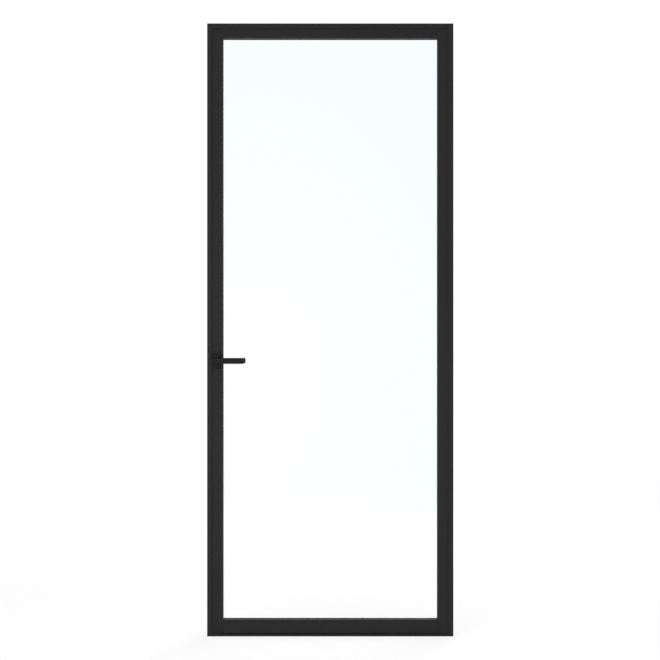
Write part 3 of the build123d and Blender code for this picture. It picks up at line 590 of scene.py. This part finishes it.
# A wire coil along +Z whose end turns lie closed
def makeCoilTree():
    tree, put = startTree("coilMaker", {
        "Coil Radius": "Float", "Wire Radius": "Float", "Length": "Float", "Turns": "Float",
        "Closed Turns": "Float", "Closed Pitch": "Float", "Steps": "Int", "Wire Sides": "Int",
        "Finish": "Material",
    })
    start = put["Geometry"]
    line = start.node("GeometryNodeMeshLine", {}, {"Count": put["Steps"]})
    curve = start.node("GeometryNodeMeshToCurve", {}, {"Mesh": line})
    index = start.node("GeometryNodeInputIndex")
    turned = index / (put["Steps"] - 1) * put["Turns"]
    closedPitch = put["Closed Pitch"]
    openTurns = put["Turns"] - put["Closed Turns"] * 2
    openRise = put["Length"] - put["Closed Turns"] * 2 * closedPitch
    first = start.maths("MINIMUM", turned, put["Closed Turns"])
    middle = start.maths("MINIMUM", start.maths("MAXIMUM", turned - put["Closed Turns"], 0), openTurns)
    last = start.maths("MAXIMUM", turned - put["Closed Turns"] - openTurns, 0)
    rise = (first + last) * closedPitch + middle / openTurns * openRise
    place = start.node("ShaderNodeCombineXYZ", {}, {
        0: put["Coil Radius"] * start.maths("COSINE", turned * (2 * pi)),
        1: put["Coil Radius"] * start.maths("SINE", turned * (2 * pi)),
        2: rise,
    })
    coiled = start.node("GeometryNodeSetPosition", {}, {"Geometry": curve, "Position": place})
    wire = start.node("GeometryNodeCurvePrimitiveCircle", {}, {
        "Resolution": put["Wire Sides"], "Radius": put["Wire Radius"],
    })
    swept = start.node("GeometryNodeCurveToMesh", {}, {
        "Curve": coiled, "Profile Curve": wire, "Fill Caps": True,
    })
    return endTree(tree, swept, put["Finish"])


# Sweeps the base mesh's loop along a straight run, or round a rectangle with square corners
def makeStripTree(name, roundRectangle):
    inputs = {"Width": "Float", "Height": "Float"} if roundRectangle else {"Length": "Float"}
    tree, put = startTree(name, {**inputs, "Finish": "Material"})
    start = put["Geometry"]
    section = start.node("GeometryNodeMeshToCurve", {}, {"Mesh": start})
    if roundRectangle:
        path = start.node("GeometryNodeCurvePrimitiveQuadrilateral", {}, {
            "Width": put["Width"], "Height": put["Height"],
        })
    else:
        end = start.node("ShaderNodeCombineXYZ", {}, {2: put["Length"]})
        path = start.node("GeometryNodeCurvePrimitiveLine", {}, {"End": end})
    swept = start.node("GeometryNodeCurveToMesh", {}, {
        "Curve": path, "Profile Curve": section, "Scale": sqrt(2) if roundRectangle else 1.0,
        "Fill Caps": not roundRectangle,
    })
    return endTree(tree, swept, put["Finish"])


screwTree = makeScrewTree()
ringTree = makeRingTree()
coilTree = makeCoilTree()
stripTree = makeStripTree("stripMaker", False)
mitredTree = makeStripTree("mitredStripMaker", True)
print("trees built")


# The boxes of a CAD node's separate solids, so that what repeats stands where the frame has it
def separateBoxes(nodeName):
    form = mergedCopy(nodeName)
    left = set(form.verts)
    boxes = []
    while left:
        found = [left.pop()]
        for vert in found:
            for edge in vert.link_edges:
                other = edge.other_vert(vert)
                if other in left:
                    left.remove(other)
                    found.append(other)
        low = Vector([min(vert.co[axis] for vert in found) for axis in range(3)])
        high = Vector([max(vert.co[axis] for vert in found) for axis in range(3)])
        boxes.append((low, high))
    form.free()
    return sorted(boxes, key=lambda box: tuple(box[0]))


# Screws of one CAD node that lie along one axis; "away" heads face away from the middle plane
def setScrews(nodeName, pieceName, screw):
    shank = screw["length"] - screw["headHeight"]
    places = []
    axis = screw["axis"]
    for low, high in separateBoxes(nodeName):
        extents = high - low
        if abs(extents[axis] - screw["length"]) > screwForm["sameLength"]:
            continue
        middle = (low + high) / 2
        facing = Vector((0, 0, 0))
        facing[axis] = 1 if (middle[axis] > 0) == screw["away"] else -1
        head = middle.copy()
        head[axis] = high[axis] if facing[axis] > 0 else low[axis]
        places.append((head, facing))
    mesh = grownMesh(screwTree, facingPoints(pieceName, places), {
        "Head Radius": screw["headRadius"], "Head Height": screw["headHeight"],
        "Neck Radius": screw["neckRadius"], "Edge Round": screw["edgeRound"],
        "Drive Radius": screw["driveRadius"], "Drive Depth": screw["driveDepth"],
        "Shank Radius": screw["shankRadius"], "Core Radius": screw["shankRadius"] * screwForm["coreShare"],
        "Length": screw["length"], "Pitch": screw["pitch"], "Sides": screwForm["sides"],
        "Thread Rows": int(shank / screw["pitch"] * screwForm["rowsInPitch"]),
        "Finish": finishes[slotOf[nodeName]],
    }, edgeAngles["turnedSmooth"])
    return standFor(mesh, pieceName, nodeName)


hingeScrew = {
    "axis": 0, "away": False, "length": 0.009, "headRadius": 0.0042, "headHeight": 0.0021,
    "neckRadius": 0.0021, "edgeRound": 0.0002, "driveRadius": 0.0017, "driveDepth": 0.0013,
    "shankRadius": 0.0021, "pitch": 0.0009,
}
cornerScrew = {
    "axis": 0, "away": True, "length": 0.0245, "headRadius": 0.0028, "headHeight": 0.0025,
    "neckRadius": 0.0028, "edgeRound": 0.0007, "driveRadius": 0.0013, "driveDepth": 0.0012,
    "shankRadius": 0.00175, "pitch": 0.0013,
}
railScrew = {
    "axis": 0, "away": True, "length": 0.028, "headRadius": 0.0042, "headHeight": 0.003,
    "neckRadius": 0.0042, "edgeRound": 0.0009, "driveRadius": 0.0018, "driveDepth": 0.0015,
    "shankRadius": 0.0025, "pitch": 0.0016,
}
plateScrew = {
    "axis": 0, "away": True, "length": 0.010, "headRadius": 0.0034, "headHeight": 0.00165,
    "neckRadius": 0.00175, "edgeRound": 0.00015, "driveRadius": 0.0014, "driveDepth": 0.001,
    "shankRadius": 0.00175, "pitch": 0.0007,
}
coverScrew = {
    "axis": 1, "away": True, "length": 0.0092, "headRadius": 0.0022, "headHeight": 0.0012,
    "neckRadius": 0.0022, "edgeRound": 0.0004, "driveRadius": 0.001, "driveDepth": 0.0007,
    "shankRadius": 0.0012, "pitch": 0.0005,
}
grubScrew = {
    "axis": 2, "away": False, "length": 0.005, "headRadius": 0.0019, "headHeight": 0.0004,
    "neckRadius": 0.0019, "edgeRound": 0.0002, "driveRadius": 0.0010, "driveDepth": 0.0012,
    "shankRadius": 0.0019, "pitch": 0.0007,
}
setScrews("frame_hinge_screws", "frameHingeScrews", hingeScrew)
setScrews("leaf_hinge_screws", "leafHingeScrews", {**hingeScrew, "away": True})
setScrews("frame_corner_screws", "cornerScrews", cornerScrew)
setScrews("rail_screws", "railScrews", railScrew)
setScrews("lock_screws", "faceplateScrews", plateScrew)
setScrews("lock_screws", "lockCoverScrews", coverScrew)
setScrews("strike_screws", "strikeScrews", {**plateScrew, "away": False, "length": 0.007})
setScrews("rose_screws", "roseScrews", {**plateScrew, "axis": 1})
setScrews("grub_screws", "grubScrews", grubScrew)
print("screws set")


# Revolves an outline of (radius, height) pairs about upright axes through the given places
def turnedMesh(name, outline, places, sides=48):
    form = bmesh.new()
    for place in places:
        rings = []
        for radius, height in outline:
            count = 1 if radius == 0 else sides
            rings.append([
                form.verts.new((
                    place[0] + radius * cos(2 * pi * i / count), place[1] + radius * sin(2 * pi * i / count),
                    place[2] + height,
                ))
                for i in range(count)
            ])
        for upper, lower in zip(rings, rings[1:]):
            for i in range(sides):
                corners = [upper[i % len(upper)], upper[(i + 1) % len(upper)]]
                corners += [lower[(i + 1) % len(lower)], lower[i % len(lower)]]
                form.faces.new(list(dict.fromkeys(corners)))
    bmesh.ops.recalc_face_normals(form, faces=form.faces)
    mesh = bpy.data.meshes.new(name)
    form.to_mesh(mesh)
    form.free()
    shadeByAngle(mesh, edgeAngles["turnedSmooth"])
    return mesh


# Hinge pins: a plain shaft between two domed caps with a turned groove under each dome
def turnHingePins():
    pin = {
        "shaft": 0.003, "cap": 0.00498, "capHeight": 0.003, "groove": 0.00035, "edge": 0.0001,
        "grooveSteps": (0.0020, 0.0021, 0.0024, 0.0025),  # depths under the top of the dome
        "dome": ((0, 0), (0.35, 0.00008), (0.6, 0.00028), (0.8, 0.00062), (0.93, 0.0011), (1, 0.0017)),
    }
    boxes = separateBoxes("hinge_pins")
    half = (boxes[0][1].z - boxes[0][0].z) / 2
    under = half - pin["capHeight"]
    cap = [(pin["cap"] * share, half - drop) for share, drop in pin["dome"]]
    inner = pin["cap"] - pin["groove"]
    for radius, drop in zip((pin["cap"], inner, inner, pin["cap"]), pin["grooveSteps"]):
        cap.append((radius, half - drop))
    cap += [(pin["cap"], under + pin["edge"]), (pin["cap"] - pin["edge"], under), (pin["shaft"], under)]
    outline = cap + [(radius, -height) for radius, height in reversed(cap)]
    mesh = turnedMesh("hingePins", outline, [(low + high) / 2 for low, high in boxes])
    return standFor(mesh, "hingePins", "hinge_pins")


turnHingePins()


# Rings of one CAD node, all of one size, round the middles of its solids
def setRings(nodeName, pieceName, ring):
    axis = ring["axis"]
    facing = Vector((0, 0, 0))
    facing[axis] = 1
    boxes = separateBoxes(nodeName)
    size = boxes[-1][1] - boxes[-1][0]
    places = [((low + high) / 2, facing) for low, high in boxes]
    mesh = grownMesh(ringTree, facingPoints(pieceName, places), {
        "Inner Radius": ring["innerRadius"], "Outer Radius": size.x / 2, "Thickness": size[axis],
        "Edge Round": ring["edgeRound"], "Sides": ring["sides"], "Finish": finishes[slotOf[nodeName]],
    })
    return standFor(mesh, pieceName, nodeName)


hingeWasher = {"axis": 2, "innerRadius": 0.00305, "edgeRound": 0.00015, "sides": 56}
leverBush = {"axis": 1, "innerRadius": 0.00705, "edgeRound": 0.0003, "sides": 56}
setRings("hinge_washers", "hingeWashers", hingeWasher)
setRings("lever_bushes", "leverBushes", leverBush)


# The latch spring, a coil wound towards the back wall of the lock case
def windLatchSpring():
    spring = {
        "turns": 6.5, "closedTurns": 1.0, "wireRadius": 0.00034, "closedPitch": 0.0007004, "steps": 261,
        "wireSides": 12, "squeezed": 0.32,
    }
    low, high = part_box("latch_spring")
    length = high.x - low.x - 2 * spring["wireRadius"]
    mesh = grownMesh(coilTree, bpy.data.meshes.new("latchSpring"), {
        "Coil Radius": (high.z - low.z) / 2 - spring["wireRadius"], "Wire Radius": spring["wireRadius"],
        "Length": length, "Turns": spring["turns"], "Closed Turns": spring["closedTurns"],
        "Closed Pitch": spring["closedPitch"], "Steps": spring["steps"], "Wire Sides": spring["wireSides"],
        "Finish": finishes["plated_steel"],
    })
    start = Vector((low.x + spring["wireRadius"], (low.y + high.y) / 2, (low.z + high.z) / 2))
    mesh.transform(Matrix.Translation(start) @ Matrix.Rotation(pi / 2, 4, "Y"))
    piece = standFor(mesh, "latchSpring", "latch_spring")
    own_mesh(piece)


windLatchSpring()
print("rings and spring set")


# A closed loop of points in the base mesh's XY plane, as a section for a strip
def sectionLoop(name, points):
    base = bpy.data.meshes.new(name)
    count = len(points)
    base.from_pydata([(x, y, 0) for x, y in points], [(i, (i + 1) % count) for i in range(count)], [])
    return base


def arcPoints(middle, radius, startAngle, endAngle, steps):
    angles = [radians(startAngle + (endAngle - startAngle) * i / steps) for i in range(steps + 1)]
    return [(middle[0] + radius * cos(angle), middle[1] + radius * sin(angle)) for angle in angles]


stopSeal = {
    "foot": 0.0008, "footRound": 0.0003, "bulbSink": 0.0001, "bulbArc": (-40, 200), "bulbSteps": 14,
    "bulbGap": 0.0002, "ribs": 3, "ribTop": 0.3, "ribFoot": 0.5, "ribHeight": 0.65,
}


# A ribbed foot on the lip and a round bulb towards the leaf; x runs inwards, y towards the leaf
def stopSealSection(width, depth):
    foot = stopSeal["foot"]
    bulb = (depth - stopSeal["bulbSink"]) / 2
    points = [(0, 0), (width - stopSeal["footRound"], 0), (width, stopSeal["footRound"])]
    points += arcPoints((width - bulb, depth - bulb), bulb, *stopSeal["bulbArc"], stopSeal["bulbSteps"])
    ribbed = width - 2 * bulb - stopSeal["bulbGap"]
    step = ribbed / stopSeal["ribs"]
    for rib in range(stopSeal["ribs"]):
        right = ribbed * (1 - rib / stopSeal["ribs"])
        points += [
            (right, foot), (right - step * stopSeal["ribTop"], foot),
            (right - step * stopSeal["ribFoot"], foot * stopSeal["ribHeight"]),
        ]
    points.append((0, foot))
    return points


# A mirrored placement leaves faces inwards, so they are turned outwards again
def outwards(mesh):
    form = bmesh.new()
    form.from_mesh(mesh)
    bmesh.ops.recalc_face_normals(form, faces=form.faces)
    form.to_mesh(mesh)
    form.free()


def runStopSeal(nodeName, pieceName):
    low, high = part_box(nodeName)
    size = high - low
    upright = size.z > size.x
    width = size.x if upright else size.z
    section = sectionLoop(pieceName, stopSealSection(width, size.y))
    mesh = grownMesh(stripTree, section, {
        "Length": size.z if upright else size.x, "Finish": finishes["seal_rubber"],
    })
    if upright:
        side = 1 if low.x < 0 else -1
        turn = Matrix(((side, 0, 0), (0, 1, 0), (0, 0, 1))).to_4x4()
        start = Vector((low.x if side > 0 else high.x, low.y, low.z))
    else:
        turn = Matrix(((0, 0, 1), (0, 1, 0), (-1, 0, 0))).to_4x4()
        start = Vector((low.x, low.y, high.z))
    mesh.transform(Matrix.Translation(start) @ turn)
    outwards(mesh)
    return standFor(mesh, pieceName, nodeName)


stopSealNames = {"seal_lock": "lockSeal", "seal_hinge": "hingeSeal", "seal_head": "headSeal"}
for nodeName, pieceName in stopSealNames.items():
    runStopSeal(nodeName, pieceName)


# A foot in the rail's slot and a ribbed tongue that thins towards a round tip above the sill
def runBottomSeal():
    seal = {
        "foot": 0.003, "footRound": 0.0005, "neck": 0.0021, "mouthHalf": 0.0038, "tipHalf": 0.0019,
        "tipSteps": 10, "ribs": 4, "ribDepth": 0.0003, "ribFrom": 0.35, "ribTo": 0.65,
    }
    low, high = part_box("bottom_seal")
    footHalf = (high.y - low.y) / 2
    footLow = high.z - seal["foot"]
    rail = footLow - seal["neck"]
    side = [(seal["mouthHalf"], footLow), (seal["mouthHalf"], rail)]
    drop = rail - low.z - seal["tipHalf"]
    for rib in range(seal["ribs"]):
        for along, inset in ((seal["ribFrom"], seal["ribDepth"]), (seal["ribTo"], seal["ribDepth"]), (1, 0)):
            share = (rib + along) / seal["ribs"]
            half = seal["mouthHalf"] + (seal["tipHalf"] - seal["mouthHalf"]) * share
            side.append((half - inset, rail - drop * share))
    tip = arcPoints((0, low.z + seal["tipHalf"]), seal["tipHalf"], 0, -180, seal["tipSteps"])[1:-1]
    foot = [(-footHalf, footLow), (-footHalf, high.z - seal["footRound"])]
    foot.append((seal["footRound"] - footHalf, high.z))
    points = side + tip + [(-x, y) for x, y in reversed(side)] + foot + [(-x, y) for x, y in reversed(foot)]
    mesh = grownMesh(stripTree, sectionLoop("bottomSeal", points), {
        "Length": high.x - low.x, "Finish": finishes["seal_rubber"],
    })
    turn = Matrix(((0, 0, 1), (1, 0, 0), (0, 1, 0))).to_4x4()
    mesh.transform(Matrix.Translation((low.x, 0, 0)) @ turn)
    outwards(mesh)
    return standFor(mesh, "bottomSeal", "bottom_seal")


runBottomSeal()


gasket = {
    "inset": 0.0005, "glassBite": 0.008, "heel": 0.001, "corner": 0.0003, "ribs": 3, "ribDepth": 0.0004,
    "ribGap": 0.0002,
}


# A wedge round the pane whose lip is ribbed at the sight line
def gasketSection(bite, depth):
    points = []
    for rib in range(gasket["ribs"]):
        low = depth * rib / gasket["ribs"]
        high = depth * (rib + 1) / gasket["ribs"]
        points += [(gasket["ribDepth"], low + gasket["ribGap"]), (0, (low + high) / 2)]
        points.append((gasket["ribDepth"], high - gasket["ribGap"]))
    points += [(gasket["heel"], depth), (bite - gasket["corner"], depth), (bite, depth - gasket["corner"])]
    points += [(bite, gasket["corner"]), (bite - gasket["corner"], 0), (gasket["heel"], 0)]
    return points


# The corners stretch a section by the square root of two, so it starts squeezed across its depth
def runGasket(nodeName, pieceName):
    low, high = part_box(nodeName)
    bite = gasket["glassBite"] - gasket["inset"]
    depth = high.y - low.y
    points = [(bite / 2 - x, (y - depth / 2) / sqrt(2)) for x, y in gasketSection(bite, depth)]
    mesh = grownMesh(mitredTree, sectionLoop(pieceName, points), {
        "Width": high.x - low.x - bite, "Height": high.z - low.z - bite, "Finish": finishes["seal_rubber"],
    })
    mesh.transform(Matrix.Translation((low + high) / 2) @ Matrix.Rotation(pi / 2, 4, "X"))
    outwards(mesh)
    return standFor(mesh, pieceName, nodeName)


runGasket("front_gasket", "frontGasket")
runGasket("rear_gasket", "rearGasket")
print("seals and gaskets run")

# Floor and studio. The floor gives out its white by itself far off, and less of it near the door, where the
# shadow shows. The sum of its own white and the light that it catches stays at 1.
studioFloor = {
    "size": 60.0, "drop": 0.0002, "near": 1.2, "far": 6.0, "nearShare": 0.60, "nearGlow": 1.28, "white": 0.82,
}


def floorFinish():
    finish, start = startFinish("studioFloor")
    place = start.node("ShaderNodeTexCoord", output="Object")
    x = start.node("ShaderNodeSeparateXYZ", {}, {0: place}, output=0)
    y = start.node("ShaderNodeSeparateXYZ", {}, {0: place}, output=1)
    away = start.node("ShaderNodeMapRange", {"interpolation_type": "SMOOTHSTEP"}, {
        "Value": start.maths("SQRT", x * x + y * y),
        "From Min": studioFloor["near"], "From Max": studioFloor["far"],
    })
    seen = start.node("ShaderNodeLightPath", output="Is Camera Ray")
    glossy = start.node("ShaderNodeLightPath", output="Is Glossy Ray")
    through = start.node("ShaderNodeLightPath", output="Is Transmission Ray")
    ownShare = studioFloor["nearShare"] + (1 - studioFloor["nearShare"]) * away
    share = start.maths("MINIMUM", seen + glossy + through, 1.0) * ownShare
    white = studioFloor["white"]
    matt = start.node("ShaderNodeBsdfDiffuse", {}, {"Color": (white, white, white, 1)})
    farTone = 1 / studioFloor["nearGlow"]
    tone = toneBetween(start, away, (1, 1, 1), (farTone, farTone, farTone))
    glow = start.node("ShaderNodeEmission", {}, {"Color": tone, "Strength": studioFloor["nearGlow"]})
    return closeFinish(finish, start.node("ShaderNodeMixShader", {}, {0: share, 1: matt, 2: glow}))


def layFloor():
    form = bmesh.new()
    bmesh.ops.create_grid(form, x_segments=1, y_segments=1, size=studioFloor["size"] / 2)
    mesh = bpy.data.meshes.new("studioFloor")
    form.to_mesh(mesh)
    form.free()
    mesh.transform(Matrix.Translation((0, 0, -studioFloor["drop"])))
    mesh.materials.append(floorFinish())
    floor = bpy.data.objects.new("studioFloor", mesh)
    scene.collection.objects.link(floor)


daylight = 0.37


def lightStudio():
    world = bpy.data.worlds.new("studio")
    scene.world = world
    world.use_nodes = True
    world.node_tree.nodes.clear()
    start = Wire(world.node_tree)
    seen = start.node("ShaderNodeLightPath", output="Is Camera Ray")
    glossy = start.node("ShaderNodeLightPath", output="Is Glossy Ray")
    through = start.node("ShaderNodeLightPath", output="Is Transmission Ray")
    shown = start.maths("MINIMUM", seen + glossy + through, 1.0)
    soft = start.node("ShaderNodeBackground", {}, {"Color": (1, 1, 1, 1), "Strength": daylight})
    white = start.node("ShaderNodeBackground", {}, {"Color": (1, 1, 1, 1), "Strength": 1.0})
    mixed = start.node("ShaderNodeMixShader", {}, {0: shown, 1: soft, 2: white})
    start.node("ShaderNodeOutputWorld", {}, {"Surface": mixed})


# A softbox is a place, the point it faces, its width and height, its watts, and whether the coat mirrors it
softboxes = {
    "frontSoftbox": ((-2.2, -4.4, 1.6), (0, 0, 1.2), (3.4, 3.0), 115, False),
    "topSoftbox": ((0.2, -1.2, 4.6), (0, 0, 1.0), (3.0, 2.4), 14, True),
    "floorSoftbox": ((-0.2, -1.3, 0.03), (-0.2, 0.3, 1.6), (2.4, 0.9), 12, False),
    "lowSoftbox": ((0.1, -2.2, 0.25), (-0.4, 0, 1.1), (0.5, 0.3), 5, False),
    "backSoftbox": ((1.6, 3.6, 2.6), (0, 0, 1.1), (2.0, 2.0), 75, True),
}


def hangSoftboxes():
    for name, (place, aim, size, watts, mirrored) in softboxes.items():
        light = bpy.data.lights.new(name, "AREA")
        light.shape = "RECTANGLE"
        light.size, light.size_y = size
        light.energy = watts
        lamp = bpy.data.objects.new(name, light)
        scene.collection.objects.link(lamp)
        lamp.location = place
        lamp.rotation_euler = (Vector(aim) - Vector(place)).to_track_quat("-Z", "Y").to_euler()
        lamp.visible_camera = False
        lamp.visible_transmission = False
        lamp.visible_glossy = mirrored


def setCamera():
    view = {"distance": 5.5, "frameWidth": 2.4926, "across": -0.0010, "height": 1.1572}
    lens = bpy.data.cameras.new("photoView")
    lens.sensor_width = 36.0
    lens.lens = lens.sensor_width * view["distance"] / view["frameWidth"]
    camera = bpy.data.objects.new("photoView", lens)
    scene.collection.objects.link(camera)
    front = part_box("jamb_lock")[0].y
    camera.location = (view["across"], front - view["distance"], view["height"])
    camera.rotation_euler = (pi / 2, 0, 0)
    scene.camera = camera


layFloor()
lightStudio()
hangSoftboxes()
setCamera()
print("studio and camera set")
